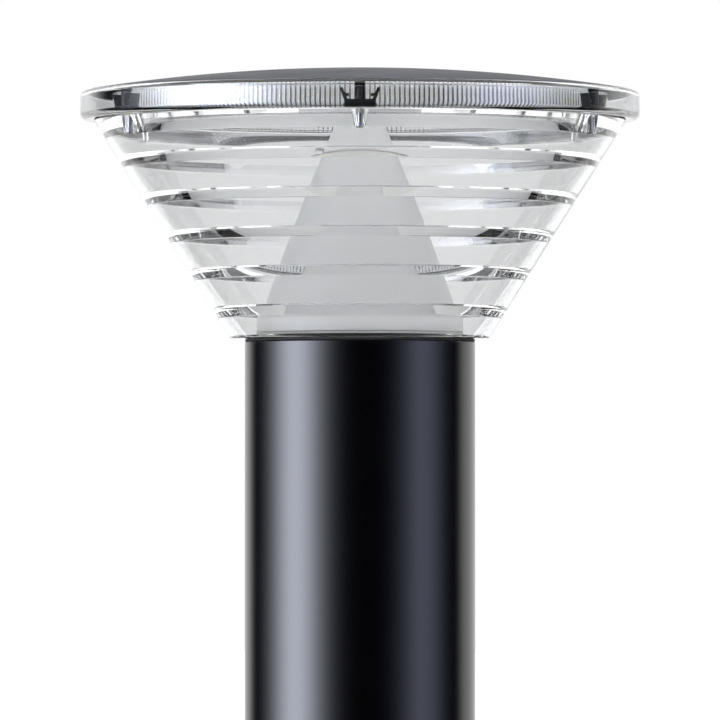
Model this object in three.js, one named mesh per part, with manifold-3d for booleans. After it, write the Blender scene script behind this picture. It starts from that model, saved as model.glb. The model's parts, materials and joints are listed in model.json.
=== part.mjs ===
// Bollard light: a round post on a base flange, carrying a clear conical diffuser with a
// white reflector cone inside it, a ribbed clear rim and a shallow domed cap.
// Millimetres, +Z up, origin on the ground at the centre of the base flange.
import * as THREE from 'three';
import { mergeVertices } from 'three/addons/utils/BufferGeometryUtils.js';
import Module from 'manifold-3d';

const wasm = await Module();
wasm.setup();

// ---- driving dimensions -------------------------------------------------------------------
const GAP = 0.3;             // clearance kept between pieces that touch
const SIDES = 48;            // facets round the large turned pieces
const SMALL_SIDES = 8;       // facets round screws, bosses and glands
const TOTAL_HEIGHT = 1000;

const POST_R = 70;
const POST_WALL = 3.5;
const POST_BORE_R = POST_R - POST_WALL;
const POST_TOP = 834.4;

const FLANGE_R = 100;
const FLANGE_THICK = 10;
const HUB_R = POST_BORE_R - 0.5;
const HUB_TOP = 44;
const CABLE_ENTRY_R = 40;
const SLOT_CIRCLE_R = 84;
const SLOT_LENGTH = 24;
const SLOT_WIDTH = 12;
const POST_SCREW_Z = 28;
const POST_SCREW_ANGLES = [45, 135, 225, 315];

const DOOR_WIDTH = 76;
const DOOR_LOW = 130;
const DOOR_HIGH = 330;
const DOOR_CORNER = 12;
const DOOR_SCREW_INSET = 9;

const HEAD_SET_SCREW_Z = 810;
const HEAD_SET_SCREW_ANGLES = [50, 130];
const HEAD_PLATE_LOW = 828;
const SPIGOT_BOTTOM = 785;
const SPIGOT_R = POST_BORE_R - 0.4;
const NECK_R = 58;
const NECK_TOP = 840.5;

const DIFFUSER_BOTTOM = 836.3;
const DIFFUSER_TOP = 968.8;
const DIFFUSER_BOTTOM_R = 78.4;
const DIFFUSER_TOP_R = 161.7;
const DIFFUSER_WALL = 3.5;   // measured horizontally
const DIFFUSER_FLOOR = 2.6;
const STEP_COUNT = 5;        // inner steps of the diffuser
const STEP_FIRST_TOP = 856.6;
const STEP_PITCH = 22.9;
const STEP_RISER = 6.4;
const TOP_RISER_FOOT = 959.4;

const CLIP_COUNT = 6;
const CLIP_CIRCLE_R = 159;
const BOSS_BOTTOM = 957.6;

const RIM_R = 170;
const RIM_BOTTOM = 969.1;
const RIM_TOP = 986.5;
const RIM_LEDGE = 983.6;
const RIM_INNER_R = 148.5;      // inside of the rim's ribbed inner wall
const RIM_INNER_TOP = 984.4;

const CAP_R = 166.5;
const CAP_SPHERE_R = 1050;
const CAP_SKIN = 2.4;
const CAP_EDGE_BOTTOM = 985;
const CAP_LAND_R = 58;
const CAP_LAND_Z = 990.6;
const LUG_BOTTOM = 982.4;
const LUG_TOP = 986.6;

const SPREADER_R = 56;
const SPREADER_LOW = 987.3;
const SPREADER_SCREW_ANGLES = [0, 120, 240];
const SPREADER_SCREW_R = 51;
const LED_BOARD_R = 45;
const LED_BOARD_LOW = 985.4;
const UPPER_REFLECTOR_R = 138;
const UPPER_REFLECTOR_THICK = 1;
const UPPER_REFLECTOR_LIP = 1.8;
const UPPER_REFLECTOR_LOW = SPREADER_LOW - GAP - UPPER_REFLECTOR_THICK;

const DRUM_R = 62.8;
const REFLECTOR_BOTTOM = NECK_TOP + GAP;
const REFLECTOR_TIP = 984.8;
const REFLECTOR_TIP_R = 14;
const REFLECTOR_WALL = 2;
const REFLECTOR_CONE_LOW = 857;
const REFLECTOR_CONE_HIGH = 965;
const REFLECTOR_CONE_TOP_R = 16;
const REFLECTOR_CONE_R = 57.6;   // at the foot of the cone
const REFLECTOR_BULGE = 4.5;
const REFLECTOR_INNER_R = 44;
const REFLECTOR_SCREW_ANGLES = [30, 150, 270];
const REFLECTOR_SCREW_R = 50.5;

const TRAY_Y = -20;          // front face of the gear tray, which the gear is mounted on
const GEAR_Y = TRAY_Y + GAP;
const LEAD_Y = -5;           // the leads and glands share this depth
const TRAY_TOP = 480;
const TRAY_THICK = 2;
const TRAY_SCREW_X = [-11, 11];
const TRAY_SCREW_Y = -60.5;
const BOX_LOW = 150;
const BOX_HIGH = 260;
const BOX_FRONT = 8;         // open side of the terminal box
const BOX_WALL = 2;
const DRIVER_LOW = 312;
const DRIVER_HIGH = 452;
const DRIVER_FIXING = 6;     // from each end of the driver to its fixing hole
const EARTH_X = 20;
const EARTH_Z = 96;

const turn = THREE.MathUtils.degToRad;

// ---- materials ----------------------------------------------------------------------------
const material = (color, roughness, metalness, extra = {}) =>
  new THREE.MeshStandardMaterial({ color, roughness, metalness, ...extra });

const BLACK_PAINT = material(0x0c0d10, 0.3, 0.4);
const CAST_BLACK = material(0x121316, 0.5, 0.3);
const CAP_PAINT = material(0x7d828b, 0.45, 0.4);
const CLEAR = material(0xf2f5f7, 0.05, 0.0, { transparent: true, opacity: 0.35 });
const REFLECTOR_WHITE = material(0xd6d8db, 0.5, 0.1);
const STEEL = material(0xb9bcc0, 0.3, 0.9);
const BLACK_OXIDE = material(0x1a1b1d, 0.4, 0.6);
const ZINC = material(0x9da2a6, 0.45, 0.8);
const BLACK_PLASTIC = material(0x101113, 0.45, 0.0);
const GREY_PLASTIC = material(0x9a9da0, 0.55, 0.0);
const WHITE_PLASTIC = material(0xe4e4e0, 0.5, 0.0);
const RUBBER = material(0x141414, 0.8, 0.0);
const SILICONE = material(0xd9dadb, 0.6, 0.0);
const ALUMINIUM = material(0xa9acb0, 0.4, 0.8);
const BRASS = material(0xb08d4a, 0.35, 0.9);
const BOARD_WHITE = material(0xf0f0ee, 0.4, 0.0);
const PHOSPHOR = material(0xf0d46a, 0.6, 0.0);

// ---- solid helpers ------------------------------------------------------------------------
function toSolid(geometry) {
  const bare = geometry.clone();
  bare.deleteAttribute('normal');
  bare.deleteAttribute('uv');
  const merged = mergeVertices(bare, 1e-4);
  const index = merged.index.array;
  const kept = [];
  for (let i = 0; i < index.length; i += 3) {
    const [a, b, c] = [index[i], index[i + 1], index[i + 2]];
    if (a !== b && b !== c && c !== a) kept.push(a, b, c);
  }
  return new wasm.Manifold(new wasm.Mesh({
    numProp: 3,
    vertProperties: new Float32Array(merged.attributes.position.array),
    triVerts: new Uint32Array(kept),
  }));
}

function toGeometry(solid) {
  const mesh = solid.getMesh();
  const geometry = new THREE.BufferGeometry();
  geometry.setAttribute('position', new THREE.BufferAttribute(mesh.vertProperties, 3));
  geometry.setIndex(new THREE.BufferAttribute(mesh.triVerts, 1));
  return geometry;
}

// The first geometry with the others joined to it and the tools cut out of the result.
function shaped(base, joined = [], tools = []) {
  let solid = toSolid(base);
  for (const piece of joined) {
    solid = solid.add(toSolid(piece));
  }
  for (const tool of tools) {
    solid = solid.subtract(toSolid(tool));
  }
  return toGeometry(solid);
}

function common(a, b) {
  return toGeometry(toSolid(a).intersect(toSolid(b)));
}

// A solid of revolution about Z. A profile is [radius, z] pairs, anticlockwise when radius
// runs to the right; it closes on itself unless it starts and ends on the axis.
function turned(profile, sides = SIDES) {
  const points = profile.map(([r, z]) => new THREE.Vector2(r, z));
  const onAxis = profile[0][0] === 0 && profile.at(-1)[0] === 0;
  if (!onAxis) points.push(points[0].clone());
  return new THREE.LatheGeometry(points, sides).rotateX(Math.PI / 2);
}

const ring = (rIn, rOut, zLow, zHigh, sides = SIDES) =>
  turned([[rIn, zLow], [rOut, zLow], [rOut, zHigh], [rIn, zHigh]], sides);

const rod = (r, zLow, zHigh, sides = SMALL_SIDES) =>
  turned([[0, zLow], [r, zLow], [r, zHigh], [0, zHigh]], sides);

function block([x0, y0, z0], [x1, y1, z1]) {
  return new THREE.BoxGeometry(x1 - x0, y1 - y0, z1 - z0)
    .translate((x0 + x1) / 2, (y0 + y1) / 2, (z0 + z1) / 2);
}

// Turns a piece whose own axis is +Z so that it points outward from the post's axis.
function radially(geometry, degrees, z) {
  return geometry.rotateY(Math.PI / 2).rotateZ(turn(degrees)).translate(0, 0, z);
}

// Places a piece standing on +Z at a radius and angle round the post's axis.
function around(geometry, r, degrees) {
  return geometry.translate(r, 0, 0).rotateZ(turn(degrees));
}

// A rounded rectangle standing in the XZ plane and running from yLow to yHigh.
function doorSlab(width, zLow, zHigh, corner, yLow, yHigh) {
  const w = width / 2 - corner;
  const h = (zHigh - zLow) / 2 - corner;
  const outline = new THREE.Shape();
  outline.absarc(w, h, corner, 0, Math.PI / 2);
  outline.absarc(-w, h, corner, Math.PI / 2, Math.PI);
  outline.absarc(-w, -h, corner, Math.PI, Math.PI * 1.5);
  outline.absarc(w, -h, corner, Math.PI * 1.5, Math.PI * 2);
  const options = { depth: yHigh - yLow, bevelEnabled: false, curveSegments: 2 };
  return new THREE.ExtrudeGeometry(outline, options)
    .rotateX(Math.PI / 2)
    .translate(0, yHigh, (zLow + zHigh) / 2);
}

// A round lead along a smooth curve through the given points.
function lead(points, radius) {
  const curve = new THREE.CatmullRomCurve3(points.map((p) => new THREE.Vector3(...p)));
  const section = new THREE.Shape().absarc(0, 0, radius, 0, Math.PI * 2);
  const steps = Math.ceil(curve.getLength() / (radius * 6));
  return new THREE.ExtrudeGeometry(section, { steps, curveSegments: 4, extrudePath: curve });
}

// A screw with its head standing up from z = 0 and its shank going down.
function screw({ headR, headHigh, shankR, shankLong }) {
  return turned([
    [0, -shankLong], [shankR, -shankLong], [shankR, 0], [headR, 0],
    [headR, headHigh * 0.6], [headR * 0.7, headHigh], [0, headHigh],
  ], SMALL_SIDES);
}

// A cable gland through a wall that runs from z = 0 to wall, with its dome nut below it.
function gland(holeR, stemR, wall) {
  const nutR = stemR + 3;
  return turned([
    [holeR, -28], [stemR, -28], [stemR + 2, -22], [stemR + 2, -10], [nutR, -10], [nutR, -GAP],
    [stemR, -GAP], [stemR, wall + GAP], [nutR, wall + GAP], [nutR, wall + 4], [stemR, wall + 4],
    [stemR, wall + 7], [holeR, wall + 7],
  ], SMALL_SIDES);
}

// ---- base and post ------------------------------------------------------------------------
const postScrewHoles = (r) =>
  POST_SCREW_ANGLES.map((angle) => radially(rod(r, 50, 80), angle, POST_SCREW_Z));

function slotTool() {
  const reach = (SLOT_LENGTH - SLOT_WIDTH) / 2;
  const outline = new THREE.Shape();
  outline.absarc(0, reach, SLOT_WIDTH / 2, 0, Math.PI);
  outline.absarc(0, -reach, SLOT_WIDTH / 2, Math.PI, Math.PI * 2);
  return new THREE.ExtrudeGeometry(outline, { depth: 20, bevelEnabled: false, curveSegments: 2 })
    .translate(0, 0, -5);
}

function baseFlange() {
  const body = turned([
    [CABLE_ENTRY_R, 0], [FLANGE_R - 1.5, 0], [FLANGE_R, 1.5], [FLANGE_R, FLANGE_THICK - 1.5],
    [FLANGE_R - 1.5, FLANGE_THICK], [HUB_R, FLANGE_THICK], [HUB_R, HUB_TOP],
    [HUB_R - 8, HUB_TOP], [HUB_R - 8, FLANGE_THICK], [CABLE_ENTRY_R, FLANGE_THICK],
  ]);
  const slots = POST_SCREW_ANGLES.map((angle) => around(slotTool(), SLOT_CIRCLE_R, angle));
  const trayHoles = TRAY_SCREW_X.map((x) => rod(2.2, 30, 50).translate(x, TRAY_SCREW_Y, 0));
  return shaped(body, [], [...slots, ...postScrewHoles(3), ...trayHoles]);
}

const postBody = () => ring(POST_BORE_R, POST_R, FLANGE_THICK + GAP, POST_TOP);
const headSetScrewHoles = () =>
  HEAD_SET_SCREW_ANGLES.map((angle) => radially(rod(3.4, 50, 80), angle, HEAD_SET_SCREW_Z));

function postTube() {
  const opening = doorSlab(DOOR_WIDTH, DOOR_LOW, DOOR_HIGH, DOOR_CORNER, 30, 90);
  return shaped(postBody(), [], [opening, ...postScrewHoles(3.3), ...headSetScrewHoles()]);
}

// ---- service door -------------------------------------------------------------------------
const DOOR_SCREW_Z = [DOOR_LOW + DOOR_SCREW_INSET, DOOR_HIGH - DOOR_SCREW_INSET];
const doorScrewHoles = (r) => DOOR_SCREW_Z.map((z) => radially(rod(r, 40, 90), 90, z));

function doorFrame() {
  const shell = ring(POST_BORE_R - 4, POST_BORE_R - GAP, DOOR_LOW - 20, DOOR_HIGH + 20);
  const outline = doorSlab(DOOR_WIDTH + 18, DOOR_LOW - 10, DOOR_HIGH + 10, DOOR_CORNER, 30, 90);
  const window = doorSlab(DOOR_WIDTH - 20, DOOR_LOW + 18, DOOR_HIGH - 18, DOOR_CORNER, 20, 95);
  return shaped(common(shell, outline), [], [window, ...doorScrewHoles(2.9)]);
}

function doorPanel() {
  const shell = ring(POST_R - 2.3, POST_R, DOOR_LOW - 5, DOOR_HIGH + 5);
  const outline = doorSlab(DOOR_WIDTH - 1.6, DOOR_LOW + 0.8, DOOR_HIGH - 0.8, DOOR_CORNER - 0.8, 30, 90);
  return shaped(common(shell, outline), [], doorScrewHoles(2.9));
}

function doorGasket() {
  const shell = ring(POST_BORE_R, POST_R - 2.6, DOOR_LOW - 5, DOOR_HIGH + 5);
  const outline = doorSlab(DOOR_WIDTH - 3, DOOR_LOW + 1.5, DOOR_HIGH - 1.5, DOOR_CORNER - 1, 30, 90);
  const window = doorSlab(DOOR_WIDTH - 20, DOOR_LOW + 18, DOOR_HIGH - 18, DOOR_CORNER, 20, 95);
  return shaped(common(shell, outline), [], [window, ...doorScrewHoles(3)]);
}

const doorScrew = (z) => radially(
  screw({ headR: 4.6, headHigh: 2.4, shankR: 2.3, shankLong: 13 }).translate(0, 0, POST_R + GAP), 90, z);

// ---- gear inside the post -----------------------------------------------------------------
const driverFixings = () => [DRIVER_LOW - DRIVER_FIXING, DRIVER_HIGH + DRIVER_FIXING].map((z) =>
  alongY(rod(2, -10, 10), 0, TRAY_Y, z));

// A plate standing on a foot that is screwed to the hub of the base flange.
function gearTray() {
  const bottom = HUB_TOP + GAP;
  const plate = block([-32, TRAY_Y - TRAY_THICK, bottom], [32, TRAY_Y, TRAY_TOP]);
  const foot = block([-17, -64, bottom], [17, TRAY_Y - TRAY_THICK / 2, bottom + TRAY_THICK]);
  const holes = TRAY_SCREW_X.map((x) => rod(2.2, 40, 50).translate(x, TRAY_SCREW_Y, 0));
  const stud = alongY(rod(3.2, -10, 10), EARTH_X, TRAY_Y, EARTH_Z);
  return shaped(plate, [foot], [...holes, ...driverFixings(), stud]);
}

// Turns a piece whose own axis is +Z so that it points along +Y from the given place.
function alongY(geometry, x, y, z) {
  return geometry.rotateX(-Math.PI / 2).translate(x, y, z);
}

const trayScrewShape = () => screw({ headR: 4, headHigh: 2.6, shankR: 1.8, shankLong: 14 });
const trayScrew = (x) =>
  trayScrewShape().translate(x, TRAY_SCREW_Y, HUB_TOP + TRAY_THICK + 2 * GAP);

function terminalBox() {
  const half = 30;
  const outer = block([-half, GEAR_Y, BOX_LOW], [half, BOX_FRONT, BOX_HIGH]);
  const cavity = block([BOX_WALL - half, GEAR_Y + BOX_WALL, BOX_LOW + BOX_WALL],
    [half - BOX_WALL, BOX_FRONT + 12, BOX_HIGH - BOX_WALL]);
  const mains = rod(9.4, BOX_LOW - 5, BOX_LOW + 5).translate(0, LEAD_Y, 0);
  const outlet = rod(6.9, BOX_HIGH - 5, BOX_HIGH + 5).translate(0, LEAD_Y, 0);
  const earth = rod(2.4, BOX_LOW - 5, BOX_LOW + 5).translate(EARTH_X, LEAD_Y, 0);
  return shaped(outer, [], [cavity, mains, outlet, earth]);
}

function terminalBlock() {
  const body = block([-26, GEAR_Y + BOX_WALL + GAP, 185], [2, -4, 205]);
  const ways = [-21, -14.3, -7.7, -1].map((x) => alongY(rod(1.8, 0, 20), x - 1.5, -9, 190));
  return shaped(body, [], ways);
}

function fuseCarrier() {
  const base = block([8, GEAR_Y + BOX_WALL + GAP, 185], [26, -6, 235]);
  const knob = block([11, -7, 196], [23, 0, 224]);
  return shaped(base, [knob]);
}

function ledDriver() {
  const body = block([-20, GEAR_Y, DRIVER_LOW], [20, 12, DRIVER_HIGH]);
  const ears = block([-9, GEAR_Y, DRIVER_LOW - 12], [9, GEAR_Y + 3, DRIVER_HIGH + 12]);
  return shaped(body, [ears], driverFixings());
}

const driverScrew = (z) => alongY(
  screw({ headR: 3.2, headHigh: 2.2, shankR: 1.6, shankLong: 7 }), 0, GEAR_Y + 3 + GAP, z);

// Stud and nut through the tray, with the ring lug and barrel that the earth lead ends in.
function earthStud() {
  const stud = alongY(rod(2.6, -6, 17), EARTH_X, TRAY_Y, EARTH_Z);
  const nut = alongY(rod(5, GAP, 4, 6), EARTH_X, TRAY_Y, EARTH_Z);
  const lug = alongY(rod(5.6, 3.9, 5.6), EARTH_X, TRAY_Y, EARTH_Z);
  const tab = block([EARTH_X - 2, TRAY_Y + 4, EARTH_Z + 3], [EARTH_X + 2, TRAY_Y + 5.5, EARTH_Z + 14]);
  const barrel = rod(2.8, EARTH_Z + 9, EARTH_Z + 18).translate(EARTH_X, TRAY_Y + 6.6, 0);
  return shaped(stud, [nut, lug, tab, barrel]);
}

const earthLead = () => lead([
  [EARTH_X, TRAY_Y + 6.6, EARTH_Z + 18.3], [EARTH_X, TRAY_Y + 7, 122], [EARTH_X, LEAD_Y - 3, 136],
  [EARTH_X, LEAD_Y, 147], [EARTH_X, LEAD_Y, 163], [EARTH_X - 4, LEAD_Y - 3, 182.6],
], 1.8);

const driverLead = () => lead([
  [-10, LEAD_Y - 2, 206], [-8, LEAD_Y - 1, 225], [-1, LEAD_Y, 240], [0, LEAD_Y, 252],
  [0, LEAD_Y, 290], [0, LEAD_Y, DRIVER_LOW - GAP],
], 3);

const headLead = () => lead([
  [0, LEAD_Y, DRIVER_HIGH + GAP], [0, LEAD_Y, 475], [6, -3, 530], [7, 2, 590], [0, 5, 660],
  [-4, 2, 730], [-1, 0, 780], [0, 0, 815], [0, 0, 850], [0, 0, 920], [0, 0, LED_BOARD_LOW - GAP],
], 3);

// ---- head base and reflector --------------------------------------------------------------
const reflectorScrewHoles = () =>
  REFLECTOR_SCREW_ANGLES.map((angle) => around(rod(2.3, 800, 860), REFLECTOR_SCREW_R, angle));

// The spigot that fits in the post, with a thick plate across it and a neck for the diffuser.
function headBase() {
  const body = turned([
    [12, HEAD_PLATE_LOW], [SPIGOT_R - 5.5, HEAD_PLATE_LOW], [SPIGOT_R - 5.5, SPIGOT_BOTTOM],
    [SPIGOT_R, SPIGOT_BOTTOM], [SPIGOT_R, POST_TOP], [NECK_R, POST_TOP], [NECK_R, NECK_TOP],
    [12, NECK_TOP],
  ]);
  return shaped(body, [], [...reflectorScrewHoles(), ...headSetScrewHoles()]);
}

const headSetScrew = (angle) =>
  radially(rod(2.9, SPIGOT_R - 5.5, POST_R - 0.4), angle, HEAD_SET_SCREW_Z);

const leadGrommet = () => turned([
  [3.5, HEAD_PLATE_LOW - 3], [14.5, HEAD_PLATE_LOW - 3],
  [14.5, HEAD_PLATE_LOW - GAP], [11.5, HEAD_PLATE_LOW - GAP],
  [11.5, NECK_TOP + GAP], [14.5, NECK_TOP + GAP], [14.5, NECK_TOP + 3], [3.5, NECK_TOP + 3],
], SMALL_SIDES * 2);

const reflectorScrew = (angle) => around(
  screw({ headR: 3.4, headHigh: 2.6, shankR: 1.8, shankLong: 17 })
    .rotateX(Math.PI).translate(0, 0, HEAD_PLATE_LOW - GAP), REFLECTOR_SCREW_R, angle);

// Outer radius of the reflector above its drum: a slightly bulged cone.
function reflectorRadius(t) {
  const straight = THREE.MathUtils.lerp(REFLECTOR_CONE_R, REFLECTOR_CONE_TOP_R, t);
  return straight + REFLECTOR_BULGE * t * (1 - t);
}

function reflector() {
  const outer = [];
  const steps = 5;
  for (let i = 0; i <= steps; i += 1) {
    const t = i / steps;
    const z = THREE.MathUtils.lerp(REFLECTOR_CONE_LOW, REFLECTOR_CONE_HIGH, t);
    outer.push([reflectorRadius(t), z]);
  }
  outer.push([REFLECTOR_TIP_R, REFLECTOR_TIP]);
  const inner = outer.map(([r, z]) => [r - REFLECTOR_WALL, z]).reverse();
  const profile = [
    [REFLECTOR_INNER_R, REFLECTOR_BOTTOM], [DRUM_R, REFLECTOR_BOTTOM],
    [DRUM_R, 848.5], [DRUM_R - 1.6, 850.5],
    ...outer, ...inner,
    [DRUM_R - 3.4, 850], [DRUM_R - 2, 848], [DRUM_R - 2, REFLECTOR_BOTTOM + 2.2],
    [REFLECTOR_INNER_R, REFLECTOR_BOTTOM + 2.2],
  ];
  return shaped(turned(profile, 36), [], reflectorScrewHoles());
}

// ---- diffuser, rim and clips --------------------------------------------------------------
const clipAngles = Array.from({ length: CLIP_COUNT }, (_, i) => 30 + (360 / CLIP_COUNT) * i);

function diffuserRadius(z) {
  const slope = (DIFFUSER_TOP_R - DIFFUSER_BOTTOM_R) / (DIFFUSER_TOP - DIFFUSER_BOTTOM);
  return DIFFUSER_BOTTOM_R + (z - DIFFUSER_BOTTOM) * slope;
}

// A clear cone whose inner face is a flight of steps: each one a short upright riser with a
// level tread above it, then a stretch parallel to the outer face. A taller riser ends it at the top.
function diffuser() {
  const innerRadius = (z) => diffuserRadius(z) - DIFFUSER_WALL;
  const floorTop = DIFFUSER_BOTTOM + DIFFUSER_FLOOR;
  const profile = [
    [NECK_R + 0.6, DIFFUSER_BOTTOM], [DIFFUSER_BOTTOM_R - 1.2, DIFFUSER_BOTTOM],
    [DIFFUSER_BOTTOM_R + 0.6, DIFFUSER_BOTTOM + 1.4], [DIFFUSER_TOP_R, DIFFUSER_TOP],
    [innerRadius(TOP_RISER_FOOT), DIFFUSER_TOP], [innerRadius(TOP_RISER_FOOT), TOP_RISER_FOOT],
  ];
  for (let i = STEP_COUNT - 1; i >= 0; i -= 1) {
    const tread = STEP_FIRST_TOP + i * STEP_PITCH;
    const riserFoot = tread - STEP_RISER;
    profile.push([innerRadius(tread), tread]);
    profile.push([innerRadius(riserFoot), tread]);
    profile.push([innerRadius(riserFoot), riserFoot]);
  }
  profile.push([innerRadius(floorTop), floorTop], [NECK_R + 0.6, floorTop]);
  const boss = () => turned(
    [[0, BOSS_BOTTOM], [3.3, BOSS_BOTTOM], [5.3, DIFFUSER_TOP - 0.5], [0, DIFFUSER_TOP - 0.5]],
    SMALL_SIDES);
  const bosses = clipAngles.map((angle) => around(boss(), CLIP_CIRCLE_R, angle));
  const bores = clipAngles.flatMap((angle) => [
    around(rod(1.8, BOSS_BOTTOM - 5, DIFFUSER_TOP + 5), CLIP_CIRCLE_R, angle),
    around(rod(2.6, BOSS_BOTTOM - 5, BOSS_BOTTOM + 3), CLIP_CIRCLE_R, angle),
  ]);
  return shaped(turned(profile), bosses, bores);
}

// A clear channel: an outer wall with a ledge for the cap, a thin web that the clips bear on and
// a lower inner wall.
function rimRing() {
  const web = RIM_BOTTOM + 1.8;
  const body = turned([
    [RIM_INNER_R, RIM_BOTTOM], [RIM_R - 4, RIM_BOTTOM], [RIM_R - 1.2, RIM_BOTTOM + 1.2],
    [RIM_R, RIM_BOTTOM + 4], [RIM_R, RIM_TOP - 4], [RIM_R - 1.1, RIM_TOP - 1.1],
    [CAP_R + GAP, RIM_TOP], [CAP_R + GAP, RIM_LEDGE], [CAP_R - 1.3, RIM_LEDGE],
    [CAP_R - 1.3, web], [RIM_INNER_R + 2, web], [RIM_INNER_R + 2, RIM_INNER_TOP],
    [RIM_INNER_R, RIM_INNER_TOP],
  ]);
  const holes = clipAngles.map((angle) =>
    around(rod(1.8, RIM_BOTTOM - 5, RIM_BOTTOM + 8), CLIP_CIRCLE_R, angle));
  return shaped(body, [], holes);
}

// A moulded clip: a foot with two arms that lean out and carry a hook each.
function capClip(angle) {
  const half = [
    [8.2, 0], [12, 10], [10, 10], [8.9, 6.6], [6.4, 6.6], [6.4, 4.9], [8.1, 4.9], [7.2, 3.2],
  ];
  const outline = new THREE.Shape();
  const right = half.map(([t, z]) => new THREE.Vector2(t, z));
  const left = half.map(([t, z]) => new THREE.Vector2(-t, z)).reverse();
  outline.setFromPoints([...right, ...left]);
  const body = new THREE.ExtrudeGeometry(outline, { depth: 5, bevelEnabled: false })
    .translate(0, 0, -2.5)
    .rotateX(Math.PI / 2)
    .rotateZ(Math.PI / 2)
    .translate(0, 0, RIM_BOTTOM + 1.8 + GAP);
  const bore = rod(1.8, RIM_BOTTOM - 5, RIM_TOP);
  return around(shaped(body, [], [bore]), CLIP_CIRCLE_R, angle);
}

// The screw goes up through the boss, the rim's web and the clip into the cap's lug.
function capScrew(angle) {
  const head = BOSS_BOTTOM + 0.9;
  const headTop = BOSS_BOTTOM + 2.7;
  return around(turned([
    [0, head], [2.1, head], [2.1, headTop], [1.4, headTop], [1.4, 984.6], [0, 984.6],
  ], SMALL_SIDES), CLIP_CIRCLE_R, angle);
}

// ---- cap and light source -----------------------------------------------------------------
// A shallow dome with a flat land under its middle and a lug over each clip.
function cap() {
  const dome = (r) => TOTAL_HEIGHT - (r * r) / (2 * CAP_SPHERE_R);
  const rings = [140, 105, 70, 35, 0];
  const under = [...rings].reverse().filter((r) => r > CAP_LAND_R);
  const body = turned([
    [0, CAP_LAND_Z], [CAP_LAND_R, CAP_LAND_Z], [CAP_LAND_R, dome(CAP_LAND_R) - CAP_SKIN],
    ...under.map((r) => [r, dome(r) - CAP_SKIN]),
    [162.8, CAP_EDGE_BOTTOM], [CAP_R, CAP_EDGE_BOTTOM], [CAP_R, dome(CAP_R)],
    ...rings.map((r) => [r, dome(r)]),
  ]);
  const lugs = clipAngles.map((angle) => around(rod(2.9, LUG_BOTTOM, LUG_TOP), CLIP_CIRCLE_R, angle));
  const lugBores = clipAngles.map((angle) =>
    around(rod(1.8, LUG_BOTTOM - 2, LUG_TOP - 1.4), CLIP_CIRCLE_R, angle));
  return shaped(body, lugs, [...lugBores, ...spreaderScrewHoles()]);
}

const spreaderScrewHoles = () => SPREADER_SCREW_ANGLES.map((angle) =>
  around(rod(2.1, 980, 995.5), SPREADER_SCREW_R, angle));

const heatSpreader = () =>
  shaped(rod(SPREADER_R, SPREADER_LOW, CAP_LAND_Z - GAP, SIDES), [], spreaderScrewHoles());

// A white sheet ring round the light board, with a lip turned up at its edge. The screws that
// hold the spreader go through it.
function upperReflector() {
  const inner = LED_BOARD_R + 1;
  const body = turned([
    [inner, UPPER_REFLECTOR_LOW], [UPPER_REFLECTOR_R, UPPER_REFLECTOR_LOW],
    [UPPER_REFLECTOR_R, UPPER_REFLECTOR_LOW + UPPER_REFLECTOR_LIP],
    [UPPER_REFLECTOR_R - UPPER_REFLECTOR_THICK, UPPER_REFLECTOR_LOW + UPPER_REFLECTOR_LIP],
    [UPPER_REFLECTOR_R - UPPER_REFLECTOR_THICK, UPPER_REFLECTOR_LOW + UPPER_REFLECTOR_THICK],
    [inner, UPPER_REFLECTOR_LOW + UPPER_REFLECTOR_THICK],
  ]);
  return shaped(body, [], spreaderScrewHoles());
}

const spreaderScrew = (angle) => around(
  screw({ headR: 3, headHigh: 1.9, shankR: 1.7, shankLong: 8 })
    .rotateX(Math.PI).translate(0, 0, UPPER_REFLECTOR_LOW - GAP), SPREADER_SCREW_R, angle);

// ---- assembly -----------------------------------------------------------------------------
const assembly = new THREE.Group();

function add(name, geometry, surface) {
  const mesh = new THREE.Mesh(geometry, surface.clone());
  mesh.name = name;
  assembly.add(mesh);
}

add('base_flange', baseFlange(), CAST_BLACK);
add('post_tube', postTube(), BLACK_PAINT);
POST_SCREW_ANGLES.forEach((angle, i) => {
  const shape = screw({ headR: 5.2, headHigh: 2.7, shankR: 2.4, shankLong: 11 });
  add(`post_fixing_screw_${i + 1}`,
    radially(shape.translate(0, 0, POST_R + GAP), angle, POST_SCREW_Z), STEEL);
});

add('door_frame', doorFrame(), ZINC);
add('door_panel', doorPanel(), BLACK_PAINT);
add('door_gasket', doorGasket(), RUBBER);
add('door_screw_lower', doorScrew(DOOR_SCREW_Z[0]), STEEL);
add('door_screw_upper', doorScrew(DOOR_SCREW_Z[1]), STEEL);

add('gear_tray', gearTray(), ZINC);
add('tray_screw_left', trayScrew(TRAY_SCREW_X[0]), STEEL);
add('tray_screw_right', trayScrew(TRAY_SCREW_X[1]), STEEL);
add('terminal_box', terminalBox(), GREY_PLASTIC);
add('terminal_box_lid', block([-30, BOX_FRONT + GAP, BOX_LOW], [30, BOX_FRONT + 3, BOX_HIGH]),
  GREY_PLASTIC);
add('terminal_block', terminalBlock(), WHITE_PLASTIC);
add('fuse_carrier', fuseCarrier(), BLACK_PLASTIC);
add('mains_gland', gland(5.5, 9, BOX_WALL).translate(0, LEAD_Y, BOX_LOW), BLACK_PLASTIC);
add('outlet_gland',
  gland(3.5, 6.5, BOX_WALL).rotateX(Math.PI).translate(0, LEAD_Y, BOX_HIGH), BLACK_PLASTIC);
add('driver_lead', driverLead(), RUBBER);
add('led_driver', ledDriver(), WHITE_PLASTIC);
add('driver_screw_lower', driverScrew(DRIVER_LOW - DRIVER_FIXING), STEEL);
add('driver_screw_upper', driverScrew(DRIVER_HIGH + DRIVER_FIXING), STEEL);
add('earth_stud', earthStud(), BRASS);
add('earth_lead', earthLead(), RUBBER);
add('head_lead', headLead(), RUBBER);

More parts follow.
